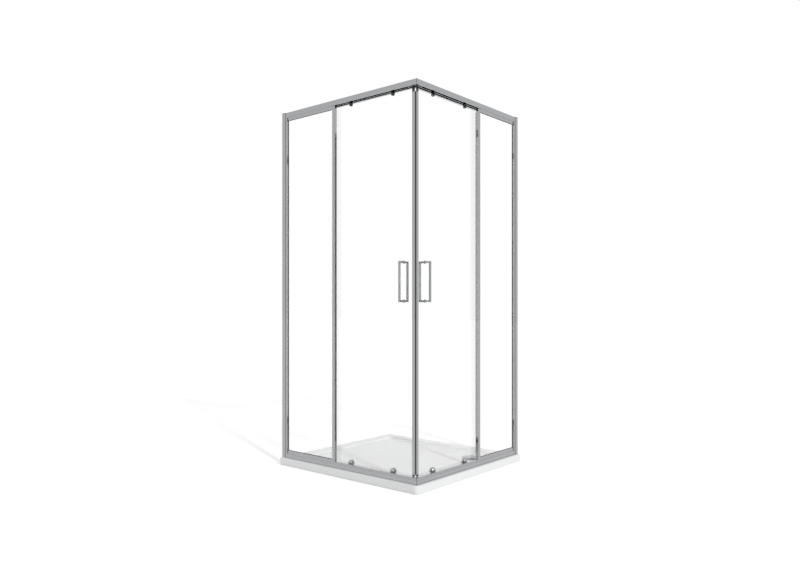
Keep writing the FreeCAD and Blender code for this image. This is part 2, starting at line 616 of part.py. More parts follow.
def sill_section():
    """Outer half with the glazing channel, base, guide rib and inner lip, as (n, z) outlines."""
    face_z = Z0 + SILL_FACE_H
    floor = Z0 + WALL
    back = CHANNEL_N1 + WALL
    return [
        [(0, Z0), (SILL_D, Z0), (SILL_D, floor), (0, floor)],
        [(0, Z0), (WALL, Z0), (WALL, face_z), (SILL_TOP_N + WALL, SILL_Z - WALL), (CHANNEL_N0, SILL_Z - WALL),
         (CHANNEL_N0, SILL_Z), (SILL_TOP_N, SILL_Z), (0, face_z)],
        [(CHANNEL_N0 - WALL, CHANNEL_Z - WALL), (back, CHANNEL_Z - WALL), (back, CHANNEL_Z),
         (CHANNEL_N0 - WALL, CHANNEL_Z)],
        [(CHANNEL_N0 - WALL, CHANNEL_Z - WALL), (CHANNEL_N0, CHANNEL_Z - WALL), (CHANNEL_N0, SILL_Z),
         (CHANNEL_N0 - WALL, SILL_Z)],
        [(CHANNEL_N1, Z0), (back, Z0), (back, SILL_Z), (CHANNEL_N1, SILL_Z)],
        [(SILL_TRACK_N - RIB / 2, Z0), (SILL_TRACK_N + RIB / 2, Z0), (SILL_TRACK_N + RIB / 2, LOW_TRACK_Z),
         (SILL_TRACK_N - RIB / 2, LOW_TRACK_Z)],
        [(SILL_D - WALL, Z0), (SILL_D, Z0), (SILL_D, Z0 + SILL_LIP_H), (SILL_D - WALL, Z0 + SILL_LIP_H)],
    ]


def top_bevel(s0, s1):
    """Wedge to take off the upper outer edge of the top rail."""
    near, far = -OVER, TOP_BEVEL + OVER
    wedge = [(near, ZTOP - far), (far, ZTOP - near), (near, ZTOP - near)]
    return along(wedge, s0 - OVER, s1 + OVER)


def extruded(section, s0, s1):
    return united([along(outline, s0, s1) for outline in section])


def top_rail():
    rail = extruded(top_rail_section(), RAIL_S, FACE).cut(past_mitre(MITRE_HALF)).cut(top_bevel(RAIL_S, FACE))
    for s, n in TOP_SCREWS:
        rail = rail.cut(flush_screw(s, n, ZTOP, -1, SCREW_SLACK))
    return rail


def bottom_rail():
    rail = extruded(sill_section(), RAIL_S, FACE).cut(past_mitre(MITRE_HALF))
    for s, n in LOW_SCREWS:
        rail = rail.cut(flush_screw(s, n, Z0, 1, SCREW_SLACK))
    return rail


def gasket_space():
    """The fixed pane with its gasket."""
    return box(PANE_S0 - GASKET, PANE_S1 + GASKET, CHANNEL_N0, CHANNEL_N1, PANE_Z0 - GASKET, PANE_Z1 + GASKET)


def rail_end_blocks():
    """Blocks between the rails and the uprights, with tongues in the rails and tails in the wall profile."""
    low = box(PROFILE_S + SLIDE_GAP, RAIL_S, 0.0, SILL_D, Z0, SILL_Z)
    low_post = box(PROFILE_S + SLIDE_GAP, RAIL_S, 0.0, POST_DEPTH, SILL_Z, BEAD_LOW_Z)
    low_tail = box(POST_S, RAIL_S, 0.0, POST_DEPTH, Z0, BEAD_LOW_Z)
    low_tongue = box(RAIL_S, RAIL_S + TONGUE, WALL + FIT, CHANNEL_N1 - FIT, Z0 + WALL + FIT,
                     CHANNEL_Z - WALL - FIT)
    high = box(PROFILE_S + SLIDE_GAP, RAIL_S, 0.0, TOP_RAIL_D, RAIL_Z, ZTOP)
    high_tail = box(POST_S, RAIL_S, 0.0, POST_DEPTH, RAIL_Z, ZTOP - CAP_PLATE - CAP_PLUG - SLIDE_GAP)
    high_tongue = box(RAIL_S, RAIL_S + TONGUE, WALL + FIT, TOP_DIVIDER_N - FIT,
                      PANE_Z1 + GASKET + FIT, ZTOP - WALL - FIT)
    high = high.cut(top_bevel(PROFILE_S, RAIL_S))
    blocks = [united([low, low_post, low_tail, low_tongue]), united([high, high_tail, high_tongue])]
    screws = (flush_screw(END_SCREW_S, CHANNEL_N0, Z0, 1, SCREW_SLACK),
              flush_screw(END_SCREW_S, CORNER_SCREW_N, ZTOP, -1, SCREW_SLACK))
    return [block.cut(gasket_space()).cut(screw) for block, screw in zip(blocks, screws)]


def mitre_half(outlines):
    """Half of a corner piece's plate in the mitre, on the left side of the mitre plane."""
    body = united([along(outline, 0.0, FACE + OVER) for outline in outlines])
    return body.common(past_mitre(MITRE_HALF)).cut(past_mitre(0.0))


def corner_piece(plate, tongue, screw):
    left = united([plate, tongue.cut(past_mitre(0.0))]).cut(screw)
    return united([left, mirrored(left)])


def top_corner_connector():
    divider = TOP_DIVIDER_N + WALL
    plate = mitre_half([
        [(0, RAIL_Z), (divider, RAIL_Z), (divider, ZTOP), (0, ZTOP)],
        [(0, ZTOP - 2 * WALL), (TOP_RAIL_D, ZTOP - 2 * WALL), (TOP_RAIL_D, ZTOP), (0, ZTOP)],
        [(TOP_LEDGE_N, RAIL_Z), (TOP_RAIL_D, RAIL_Z), (TOP_RAIL_D, ZTOP), (TOP_LEDGE_N, ZTOP)],
    ]).cut(top_bevel(0.0, FACE))
    tongue = box(FACE - CORNER_TONGUE, FACE, WALL + FIT, TOP_DIVIDER_N - FIT, RAIL_Z + WALL + FIT,
                 ZTOP - WALL - FIT)
    return corner_piece(plate, tongue, flush_screw(CORNER_SCREW_S, CORNER_SCREW_N, ZTOP, -1, SCREW_SLACK))


def bottom_corner_connector():
    back = CHANNEL_N1 + WALL
    plate = mitre_half([
        [(0, Z0), (back, Z0), (back, SILL_Z), (SILL_TOP_N, SILL_Z), (0, Z0 + SILL_FACE_H)],
        [(0, Z0), (SILL_D, Z0), (SILL_D, Z0 + SILL_LIP_H), (0, Z0 + SILL_LIP_H)],
    ])
    tongue = box(FACE - CORNER_TONGUE, FACE, WALL + FIT, CHANNEL_N1 - FIT, Z0 + WALL + FIT,
                 CHANNEL_Z - WALL - FIT)
    return corner_piece(plate, tongue, flush_screw(CORNER_SCREW_S, CHANNEL_N0, Z0, 1, SCREW_SLACK))


def track_stops():
    """Rubber buffers astride the track rib, where the wheels end their run."""
    half_slot = RIB / 2.0 + FIT
    reach = WHEEL_R + SLIDE_GAP
    ends = (ROLLER_S[0] - DOOR_TRAVEL - reach - STOP_LENGTH, ROLLER_S[1] + reach)
    stops = []
    for s in ends:
        block = box(s, s + STOP_LENGTH, TOP_LEDGE_N + FIT, TOP_RAIL_D - WALL - FIT, RAIL_Z + WALL,
                    RAIL_Z + WALL + STOP_HEIGHT)
        groove = box(s - OVER, s + STOP_LENGTH + OVER, TOP_TRACK_N - half_slot, TOP_TRACK_N + half_slot,
                     RAIL_Z, TRACK_Z + FIT)
        stops.append(block.cut(groove))
    return stops


# ---------------------------------------------------------------- glazing
def fixed_glass():
    return box(PANE_S0, PANE_S1, FIXED_GLASS_N, FIXED_GLASS_N + GLASS, PANE_Z0, PANE_Z1)


def glazing_gasket():
    window = box(RAIL_S + GASKET_SHOW, MULLION_S0 - GASKET_SHOW, 0.0, TOP_RAIL_D,
                 BEAD_LOW_Z + GASKET_SHOW, BEAD_HIGH_Z - GASKET_SHOW)
    return gasket_space().cut(window).cut(fixed_glass())


def glazing_beads():
    """Snap-in beads: outer and inner, under the top rail and on the sill. The upper outer one leans back."""
    outer_low = box(RAIL_S, MULLION_S0, SILL_TOP_N, CHANNEL_N0, SILL_Z, BEAD_LOW_Z)
    inner_low = box(RAIL_S, MULLION_S0, CHANNEL_N1, CHANNEL_N1 + WALL, SILL_Z, BEAD_LOW_Z)
    leg = RAIL_Z + BEAD_LEG
    leaning = [(WALL + LIP, leg), (WALL + LIP, RAIL_Z), (CHANNEL_N0 - BEAD_NOSE, BEAD_HIGH_Z),
               (CHANNEL_N0, BEAD_HIGH_Z), (CHANNEL_N0, leg)]
    outer_high = along(leaning, RAIL_S, MULLION_S0)
    inner_high = box(RAIL_S, MULLION_S0, CHANNEL_N1, TOP_DIVIDER_N - LIP, BEAD_HIGH_Z, leg)
    return [outer_low, inner_low, outer_high, inner_high]


def threshold_cover():
    strip = box(MULLION_S1, FACE, CHANNEL_N0, CHANNEL_N1, CHANNEL_Z + SILL_CHANNEL / 2.0, SILL_Z)
    return strip.cut(past_mitre(MITRE_HALF))


# ---------------------------------------------------------------- doors
def door_glass():
    pane = box(DOOR_S0, DOOR_S1, DOOR_GLASS_N, DOOR_N1, DOOR_Z0, DOOR_Z1)
    for s in ROLLER_S:
        pane = pane.cut(rod(s, BOSS_Z, BOSS_HOLE_R, DOOR_GLASS_N - OVER, DOOR_N1 + OVER))
        pane = pane.cut(rod(s, RELEASE_MID_Z, BOSS_HOLE_R, DOOR_GLASS_N - OVER, DOOR_N1 + OVER))
    for z in handle_heights():
        pane = pane.cut(rod(HANDLE_S, z, HANDLE_HOLE_R, DOOR_GLASS_N - OVER, DOOR_N1 + OVER))
    return pane


def slanted(n, distance):
    """Place along the side, at depth n, of the plane that lies that far before the mitre plane."""
    return FACE - n - distance * ROOT2


def lead_outline():
    depth = MAGNET_HALF_GAP + MAGNET_T
    return [(LEAD_S0, LEAD_N0), (slanted(LEAD_N0, depth), LEAD_N0), (slanted(LEAD_N1, depth), LEAD_N1),
            (LEAD_S0, LEAD_N1)]


def lead_pocket():
    return box(LEAD_S0 - OVER, LEAD_S0 + LEAD_POCKET, DOOR_GLASS_N - GLUE, DOOR_N1 + GLUE, Z0, ZTOP)


def leading_profile():
    return standing(lead_outline(), Z0 + LEAD_LOW, ZTOP - LEAD_HIGH).cut(lead_pocket())


def lead_plugs():
    """Dark plugs on both ends of a leading profile."""
    spans = ((Z0 + LEAD_LOW - LEAD_PLUG, Z0 + LEAD_LOW), (ZTOP - LEAD_HIGH, DOOR_Z1))
    return [standing(lead_outline(), z0, z1).cut(lead_pocket()) for z0, z1 in spans]


def magnetic_seal():
    n0 = DOOR_GLASS_N + (GLASS - MAGNET_W) / 2.0
    n1 = n0 + MAGNET_W
    near, far = MAGNET_HALF_GAP, MAGNET_HALF_GAP + MAGNET_T
    outline = [(slanted(n0, near), n0), (slanted(n1, near), n1), (slanted(n1, far), n1), (slanted(n0, far), n0)]
    return standing(outline, Z0 + LEAD_LOW, ZTOP - LEAD_HIGH)


def trailing_seal():
    outer = box(TRAIL_S0, TRAIL_S0 + TRAIL_SEAL, DOOR_GLASS_N - TRAIL_SEAL_T, DOOR_N1 + TRAIL_SEAL_T,
                SEAL_Z0, SEAL_Z1)
    return outer.cut(box(DOOR_S0, DOOR_S1, DOOR_GLASS_N, DOOR_N1, Z0, ZTOP))


def handle_heights():
    low = Z0 + HANDLE_LOW + HANDLE_BAR / 2.0
    return (low, low + HANDLE_LENGTH - HANDLE_BAR)


def handle_grip(pane_n, outwards):
    """Bow of square bar; outwards is -1 in front of the pane and +1 behind it."""
    def span(near, far):
        places = (pane_n + outwards * near, pane_n + outwards * far)
        return min(places), max(places)
    s0, s1 = HANDLE_S - HANDLE_BAR / 2.0, HANDLE_S + HANDLE_BAR / 2.0
    low = Z0 + HANDLE_LOW
    bar = box(s0, s1, *span(HANDLE_STANDOFF - HANDLE_BAR, HANDLE_STANDOFF), low, low + HANDLE_LENGTH)
    legs = [box(s0, s1, *span(HANDLE_WASHER_T, HANDLE_STANDOFF), z - HANDLE_BAR / 2.0, z + HANDLE_BAR / 2.0)
            for z in handle_heights()]
    grip = united([bar] + legs)
    foot = pane_n + outwards * HANDLE_WASHER_T - FACE

    def not_at_foot(bounds):
        return not (abs(bounds.YMin - foot) < 0.01 and abs(bounds.YMax - foot) < 0.01)

    grip = rounded_edges(grip, HANDLE_ROUND, not_at_foot)
    for z in handle_heights():
        grip = grip.cut(rod(HANDLE_S, z, HANDLE_STUD_R + SCREW_SLACK, *span(-OVER, HANDLE_STANDOFF / 2.0)))
    return grip


def handle_fixings():
    """Studs through the pane, with washers under the legs and bushes in the holes."""
    reach = HANDLE_STANDOFF / 2.0 - SLIDE_GAP
    bore = HANDLE_STUD_R + SCREW_SLACK
    pieces = []
    for z in handle_heights():
        pieces.append(rod(HANDLE_S, z, HANDLE_STUD_R, DOOR_GLASS_N - reach, DOOR_N1 + reach))
        for n in (DOOR_GLASS_N - HANDLE_WASHER_T, DOOR_N1):
            pieces.append(turned(ring_profile(bore, HANDLE_WASHER_R, n, n + HANDLE_WASHER_T), HANDLE_S, z))
        bush = ring_profile(bore, HANDLE_HOLE_R - SLIDE_GAP, DOOR_GLASS_N, DOOR_N1)
        pieces.append(turned(bush, HANDLE_S, z))
    return pieces


# ---------------------------------------------------------------- top rollers
def bevelled_cap(s, z, radius, thickness):
    """Round cap on the front of the pane."""
    front = DOOR_GLASS_N - thickness
    return turned([(0, front), (radius - CAP_BEVEL, front), (radius, front + CAP_BEVEL),
                   (radius, DOOR_GLASS_N), (0, DOOR_GLASS_N)], s, z)


def roller_bracket(s):
    """Plate with the boss through the pane, the outer cap, the clamp nut and the wheel's axle."""
    plate_n = DOOR_N1 + BRACKET_T
    plate = united([rod(s, BOSS_Z, CAP_R, DOOR_N1, plate_n), rod(s, WHEEL_Z, CAP_R, DOOR_N1, plate_n),
                    box(s - CAP_R, s + CAP_R, DOOR_N1, plate_n, BOSS_Z, WHEEL_Z),
                    rod(s, BOSS_Z, BOSS_R, DOOR_GLASS_N, DOOR_N1)])
    cap = bevelled_cap(s, BOSS_Z, CAP_R, CAP_T)
    nut = rod(s, BOSS_Z, BOSS_R, plate_n, TOP_LEDGE_N - FIT)
    collar, head = AXLE_R + AXLE_COLLAR, AXLE_R + AXLE_HEAD
    start, end = WHEEL_N0 - RUNNING, WHEEL_N1 + RUNNING
    axle = turned([(0, plate_n), (collar, plate_n), (collar, start), (AXLE_R, start), (AXLE_R, end),
                   (head, end), (head, end + AXLE_HEAD_T), (0, end + AXLE_HEAD_T)], s, WHEEL_Z)
    return [plate, cap, nut, axle]


def grooved_wheel(s, z, middle_n, width, outer_r, root_r, axle_r):
    half = width / 2.0
    root = RIB / 2.0 + RIB_CLEAR
    mouth = root + (outer_r - root_r) * GROOVE_FLARE
    profile = [(axle_r + RUNNING, middle_n - half), (outer_r, middle_n - half), (outer_r, middle_n - mouth),
               (root_r, middle_n - root), (root_r, middle_n + root), (outer_r, middle_n + mouth),
               (outer_r, middle_n + half), (axle_r + RUNNING, middle_n + half)]
    return turned(profile, s, z)


def top_wheel(s):
    return grooved_wheel(s, WHEEL_Z, TOP_TRACK_N, WHEEL_W, WHEEL_R, WHEEL_ROOT_R, AXLE_R)


# ---------------------------------------------------------------- bottom rollers
BLOCK_Z0 = LOW_WHEEL_Z + LOW_WHEEL_R + BLOCK_OVER_WHEEL
BLOCK_Z1 = BLOCK_Z0 + CARRIAGE_BLOCK
SLOT_Z1 = BLOCK_Z1 + RELEASE_TRAVEL + SLOT_SPARE
SPRING_Z1 = SLOT_Z1 + SPRING_NEST
SLOT_N0 = DOOR_N1 + HOUSING_BACK
HOUSING_N1 = DOOR_N1 + RELEASE_BODY_T


def release_housing(s):
    """Round housing behind the pane with the carriage's slot, and the round cap in front."""
    body = rod(s, RELEASE_MID_Z, RELEASE_R, DOOR_N1, HOUSING_N1)
    boss = rod(s, RELEASE_MID_Z, BOSS_R, DOOR_GLASS_N, DOOR_N1)
    slot = box(s - SLOT_HALF, s + SLOT_HALF, SLOT_N0, HOUSING_N1 + OVER, Z0, SLOT_Z1)
    spring_room = SPRING_R + SPRING_WIRE
    nest = box(s - spring_room, s + spring_room, SLOT_N0, HOUSING_N1 + OVER, Z0, SPRING_Z1)
    housing = united([body, boss]).cut(slot).cut(nest)
    return [housing, bevelled_cap(s, RELEASE_MID_Z, RELEASE_R, RELEASE_CAP_T)]


def release_spring(s):
    middle = (SLOT_N0 + HOUSING_N1) / 2.0
    ring = ring_profile(SPRING_R - SPRING_WIRE, SPRING_R, BLOCK_Z1 + SLIDE_GAP / 2.0,
                        SPRING_Z1 - SLIDE_GAP / 2.0)
    return turned_up(ring, s, middle - FACE)


def release_carriage(s):
    """Block in the housing's slot, finger tab, arm and the axle of the bottom wheel."""
    half = SLOT_HALF - SLIDE_GAP
    n0 = SLOT_N0 + SLIDE_GAP
    n1 = HOUSING_N1 - CARRIAGE_BACK
    block = box(s - half, s + half, n0, n1, BLOCK_Z0, BLOCK_Z1)
    tab = box(s - ARM_HALF, s + ARM_HALF, n1, n1 + TAB_REACH, BLOCK_Z0, BLOCK_Z1 - TAB_STEP)
    arm_n = LOW_WHEEL_N0 - RUNNING
    arm = box(s - ARM_HALF, s + ARM_HALF, n0, arm_n, LOW_WHEEL_Z - ARM_HALF, BLOCK_Z0)
    end = LOW_WHEEL_N1 + RUNNING
    head = LOW_AXLE_R + LOW_AXLE_HEAD
    axle = turned([(0, n0), (LOW_AXLE_R, n0), (LOW_AXLE_R, end), (head, end), (head, end + LOW_AXLE_HEAD_T),
                   (0, end + LOW_AXLE_HEAD_T)], s, LOW_WHEEL_Z)
    return united([block, tab, arm, axle])


def bottom_wheel(s):
    return grooved_wheel(s, LOW_WHEEL_Z, SILL_TRACK_N, LOW_WHEEL_W, LOW_WHEEL_R, LOW_WHEEL_ROOT_R, LOW_AXLE_R)


# ---------------------------------------------------------------- assembly
def side_nodes():
    """Left-side pieces that are nodes of their own on each side."""
    nodes = {
        "wall_profile": [wall_profile()],
        "top_rail": [top_rail()],
        "bottom_rail": [bottom_rail()],
        "fixed_glass": [fixed_glass()],
        "door_glass": [door_glass()],
        "leading_profile": [leading_profile()],
        "leading_plugs": lead_plugs(),
        "magnetic_seal": [magnetic_seal()],
        "trailing_seal": [trailing_seal()],
        "handle_outer": [handle_grip(DOOR_GLASS_N, -1)],
        "handle_inner": [handle_grip(DOOR_N1, 1)],
        "handle_fixings": handle_fixings(),
        "roller_brackets": [piece for s in ROLLER_S for piece in roller_bracket(s)],
        "release_housings": [piece for s in ROLLER_S for piece in release_housing(s)],
        "release_springs": [release_spring(s) for s in ROLLER_S],
    }
    for place, s in zip(("rear", "front"), ROLLER_S):
        nodes["top_wheel_" + place] = [top_wheel(s)]
        nodes["release_carriage_" + place] = [release_carriage(s)]
        nodes["bottom_wheel_" + place] = [bottom_wheel(s)]
    return nodes


def shared_nodes():
    """Pieces of the tray and the corner, and groups of like pieces from both sides."""
    return {
        "shower_tray": [shower_tray()],
        "waste_body": [waste_body()],
        "waste_seal": [waste_seal()],
        "waste_nut": [waste_nut()],
        "waste_cover": [waste_cover()],
        "hair_strainer": [hair_strainer()],
        "frame_uprights": both_sides([frame_upright()]),
        "mullions": both_sides([mullion()]),
        "profile_end_plugs": both_sides([wall_profile_cap()] + mullion_plugs()),
        "glazing_gaskets": both_sides([glazing_gasket()]),
        "glazing_beads": both_sides(glazing_beads()),
        "threshold_covers": both_sides([threshold_cover()]),
        "mullion_seals": both_sides([mullion_seal()]),
        "top_corner_connector": [top_corner_connector()],
        "bottom_corner_connector": [bottom_corner_connector()],
        "rail_end_blocks": both_sides(rail_end_blocks()),
        "frame_screws": frame_screws(),
        "track_stops": both_sides(track_stops()),
    }


def save(name, solids):
    shape = solids[0] if len(solids) == 1 else Part.makeCompound(solids)
    shape.exportStep("parts/" + name + ".step")
    return shape


def main():
    os.makedirs("parts", exist_ok=True)
    nodes = shared_nodes()
    for name, solids in side_nodes().items():
        nodes["left_" + name] = solids
        nodes["right_" + name] = [mirrored(solid) for solid in solids]
    for name, solids in nodes.items():
        shape = save(name, solids)
        print("%-34s solids %2d  volume %10.0f  valid %s" % (name, len(shape.Solids), shape.Volume,
                                                             shape.isValid()))
    print("nodes", len(nodes), "door travel", round(DOOR_TRAVEL, 3), "rollers at", ROLLER_S)


main()
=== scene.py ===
import json
import math

import bmesh
import bpy
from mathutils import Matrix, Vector


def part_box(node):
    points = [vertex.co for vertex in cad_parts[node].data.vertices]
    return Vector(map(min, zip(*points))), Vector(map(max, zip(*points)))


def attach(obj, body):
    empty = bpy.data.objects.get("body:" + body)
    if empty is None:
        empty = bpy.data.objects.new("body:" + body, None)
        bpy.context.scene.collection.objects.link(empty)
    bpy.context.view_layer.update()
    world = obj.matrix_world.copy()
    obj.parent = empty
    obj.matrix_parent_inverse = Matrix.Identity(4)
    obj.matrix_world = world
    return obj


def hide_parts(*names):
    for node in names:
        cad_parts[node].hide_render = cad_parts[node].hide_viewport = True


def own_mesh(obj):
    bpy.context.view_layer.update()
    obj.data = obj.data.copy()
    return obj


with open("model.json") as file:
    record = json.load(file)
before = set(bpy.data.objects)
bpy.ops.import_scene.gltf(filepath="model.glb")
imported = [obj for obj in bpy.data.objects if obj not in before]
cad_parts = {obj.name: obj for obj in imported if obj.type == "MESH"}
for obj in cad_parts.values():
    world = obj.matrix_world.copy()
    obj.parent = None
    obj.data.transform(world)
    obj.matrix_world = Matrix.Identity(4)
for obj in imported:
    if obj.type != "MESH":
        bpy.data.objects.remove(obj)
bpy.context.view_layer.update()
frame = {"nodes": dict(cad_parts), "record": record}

# Square corner-entry shower enclosure: finishes, small details, studio and camera. Metres, +Z up.
NODES = frame["nodes"]
SIDES = ("left", "right")
PLACES = ("rear", "front")
CAMERA = Vector((2.330, -2.910, 0.837))
AZIMUTH = math.radians(41.35)
FOCAL_PX = 704.2
CENTRE_PX = (368.6, 305.0)
IMAGE = (800, 586)


# ---------------------------------------------------------------- finishes
def node(tree, kind, inputs=None, **settings):
    made = tree.nodes.new(kind)
    for key, value in settings.items():
        setattr(made, key, value)
    for key, value in (inputs or {}).items():
        if isinstance(value, bpy.types.NodeSocket):
            tree.links.new(value, made.inputs[key])
        else:
            made.inputs[key].default_value = value
    return made


def noise(tree, scale, detail=2.0):
    """Noise in the object's own coordinates; scale is in cells a metre along X, Y and Z."""
    where = node(tree, "ShaderNodeTexCoord")
    placed = node(tree, "ShaderNodeMapping", {"Vector": where.outputs["Object"], "Scale": scale})
    made = node(tree, "ShaderNodeTexNoise", {"Vector": placed.outputs["Vector"], "Scale": 1.0,
                                             "Detail": detail})
    return made.outputs["Fac"]


def ranged(tree, value, low, high):
    made = node(tree, "ShaderNodeMapRange", {"Value": value, "From Min": 0.3, "From Max": 0.7,
                                             "To Min": low, "To Max": high})
    return made.outputs["Result"]


def surface(name, colour, rough, metal=0.0, drift=0.02, patch=9.0, grain=(300.0,) * 3, bump=0.1, depth=0.0002,
            rough_drift=0.03, **fixed):
    """Finish with slow colour drift, grain in the roughness and a fine bump."""
    mat = bpy.data.materials.new(name)
    mat.use_nodes = True
    tree = mat.node_tree
    shader = tree.nodes["Principled BSDF"]
    slow = ranged(tree, noise(tree, (patch,) * 3, 3.0), 0.0, 1.0)
    low = [c * (1.0 - drift) for c in colour] + [1.0]
    high = [min(1.0, c * (1.0 + drift)) for c in colour] + [1.0]
    blend = node(tree, "ShaderNodeMix", data_type="RGBA")
    tree.links.new(slow, blend.inputs["Factor"])
    blend.inputs[6].default_value = low
    blend.inputs[7].default_value = high
    tree.links.new(blend.outputs[2], shader.inputs["Base Color"])
    fine = noise(tree, grain)
    tree.links.new(ranged(tree, fine, max(0.0, rough - rough_drift), rough + rough_drift),
                   shader.inputs["Roughness"])
    relief = node(tree, "ShaderNodeBump", {"Height": fine, "Strength": bump, "Distance": depth})
    tree.links.new(relief.outputs["Normal"], shader.inputs["Normal"])
    shader.inputs["Metallic"].default_value = metal
    for key, value in fixed.items():
        shader.inputs[key.replace("_", " ")].default_value = value
    return mat


def see_through(mat, share=1.0):
    """Lets light that only fills or shades pass straight through the surface."""
    tree = mat.node_tree
    out = tree.nodes["Material Output"]
    shader = tree.nodes["Principled BSDF"]
    path = node(tree, "ShaderNodeLightPath")
    either = node(tree, "ShaderNodeMath", {0: path.outputs["Is Shadow Ray"],
                                           1: path.outputs["Is Diffuse Ray"]}, operation="MAXIMUM")
    part = node(tree, "ShaderNodeMath", {0: either.outputs[0], 1: share}, operation="MULTIPLY")
    clear = node(tree, "ShaderNodeBsdfTransparent")
    mix = node(tree, "ShaderNodeMixShader", {0: part.outputs[0], 1: shader.outputs[0], 2: clear.outputs[0]})
    tree.links.new(mix.outputs[0], out.inputs["Surface"])
    return mat


PANE_FACE = (0.996, 0.998, 0.997, 1.0)
PANE_EDGE = (0.50, 0.74, 0.66, 1.0)
PANE_EDGE_FACING = 0.6      # a face turned further than this from the pane's own direction is an edge
PANE_CLEAR = 0.94           # share of the shading light that passes
SEAL_CLEAR = 0.7


def glass(name, across):
    """Clear tempered glass: nearly colourless through its faces, green along its edges."""
    mat = bpy.data.materials.new(name)
    mat.use_nodes = True
    tree = mat.node_tree
    shader = tree.nodes["Principled BSDF"]
    where = node(tree, "ShaderNodeTexCoord")
    facing = node(tree, "ShaderNodeVectorMath", {0: where.outputs["Normal"], 1: across},
                  operation="DOT_PRODUCT")
    size = node(tree, "ShaderNodeMath", {0: facing.outputs["Value"]}, operation="ABSOLUTE")
    is_edge = node(tree, "ShaderNodeMath", {0: size.outputs[0], 1: PANE_EDGE_FACING}, operation="LESS_THAN")
    tint = node(tree, "ShaderNodeMix", data_type="RGBA")
    tree.links.new(is_edge.outputs[0], tint.inputs["Factor"])
    tint.inputs[6].default_value = PANE_FACE
    tint.inputs[7].default_value = PANE_EDGE
    tree.links.new(tint.outputs[2], shader.inputs["Base Color"])
    wave = node(tree, "ShaderNodeBump", {"Height": noise(tree, (4.0, 4.0, 9.0)), "Strength": 0.05,
                                         "Distance": 0.0004})
    tree.links.new(wave.outputs["Normal"], shader.inputs["Normal"])
    shader.inputs["Roughness"].default_value = 0.0
    shader.inputs["Transmission Weight"].default_value = 1.0
    shader.inputs["IOR"].default_value = 1.5
    return see_through(mat, PANE_CLEAR)


BRIGHT = (0.38, 0.385, 0.395)
CHROME = (0.36, 0.365, 0.37)
ACROSS, ALONG = 1500.0, 14.0    # cells a metre across and along the drawn lines
DRAWN = {"standing": (ACROSS, ACROSS, ALONG), "along_x": (ALONG, ACROSS, ACROSS),
         "along_y": (ACROSS, ALONG, ACROSS)}


def bright_metal(name, lines):
    return surface(name, BRIGHT, 0.045, 1.0, drift=0.015, patch=5.0, grain=DRAWN[lines], bump=0.02,
                   depth=0.00005, rough_drift=0.015)


METAL = {name: bright_metal("bright_aluminium_" + name, name) for name in DRAWN}
FINISH = {
    "tray_white": surface("tray_white", (0.88, 0.885, 0.89), 0.24, drift=0.008, patch=6.0, grain=(120.0,) * 3,
                          bump=0.06, depth=0.0003, Coat_Weight=0.25, Coat_Roughness=0.08),
    "waste_chrome": surface("waste_chrome", CHROME, 0.06, 1.0, patch=40.0, grain=(700.0,) * 3,
                            bump=0.01, depth=0.00005, rough_drift=0.03),
    "black_rubber": surface("black_rubber", (0.03, 0.03, 0.033), 0.62, grain=(1600.0,) * 3, bump=0.25,
                            depth=0.0001, drift=0.12),
    "dark_plastic": surface("dark_plastic", (0.05, 0.05, 0.055), 0.42, grain=(2200.0,) * 3, bump=0.18,
                            depth=0.00008, drift=0.06),
    "chromed_plastic": surface("chromed_plastic", (0.40, 0.405, 0.41), 0.10, 1.0, patch=30.0,
                               grain=(300.0,) * 3, bump=0.015, depth=0.0001),
    "handle_chrome": surface("handle_chrome", CHROME, 0.06, 1.0, patch=25.0, grain=(600.0,) * 3,
                             bump=0.01, depth=0.00005),
    "stainless_steel": surface("stainless_steel", (0.60, 0.60, 0.61), 0.28, 1.0, patch=60.0,
                               grain=(2500.0, 2500.0, 400.0), bump=0.08, depth=0.00004, rough_drift=0.08),
    "clear_seal": see_through(surface("clear_seal", (0.90, 0.915, 0.915), 0.22, grain=(500.0, 500.0, 20.0),
                                      bump=0.08, depth=0.0002, Transmission_Weight=0.85, IOR=1.45),
                              SEAL_CLEAR),
    "dark_seal": surface("dark_seal", (0.035, 0.035, 0.04), 0.45, grain=(900.0, 900.0, 30.0), bump=0.12,
                         depth=0.0001, drift=0.08),
    "wheel_plastic": surface("wheel_plastic", (0.85, 0.85, 0.84), 0.34, grain=(1800.0,) * 3, bump=0.1,
                             depth=0.00006, drift=0.03),
    "carriage_plastic": surface("carriage_plastic", (0.60, 0.61, 0.62), 0.4, grain=(2000.0,) * 3, bump=0.15,
                                depth=0.00008, drift=0.04),
}
PANE = {"left": glass("clear_glass_left", (0.0, 1.0, 0.0)),
        "right": glass("clear_glass_right", (1.0, 0.0, 0.0))}


def finish_for(name, slot_name):
    """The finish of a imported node: drawn metal follows the piece's length, glass its own faces."""
    side = name.split("_")[0]
    if slot_name == "clear_glass":
        return PANE[side]
    if slot_name != "bright_aluminium":
        return FINISH[slot_name]
    if "rail" in name:
        return METAL["along_x" if side == "left" else "along_y"]
    return METAL["standing"]


def dress():
    for part in frame["record"]["subparts"]:
        thing = NODES[part["node"]]
        thing.data.materials.clear()
        thing.data.materials.append(finish_for(part["node"], part["material_slot"]))


# ---------------------------------------------------------------- small pieces
def piece(name, build, material, body):
    shape = bmesh.new()
    build(shape)
    mesh = bpy.data.meshes.new(name)
    shape.to_mesh(mesh)
    shape.free()
    for face in mesh.polygons:
        face.use_smooth = True
    made = bpy.data.objects.new(name, mesh)
    bpy.context.scene.collection.objects.link(made)
    mesh.materials.append(material)
    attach(made, body)
    return made


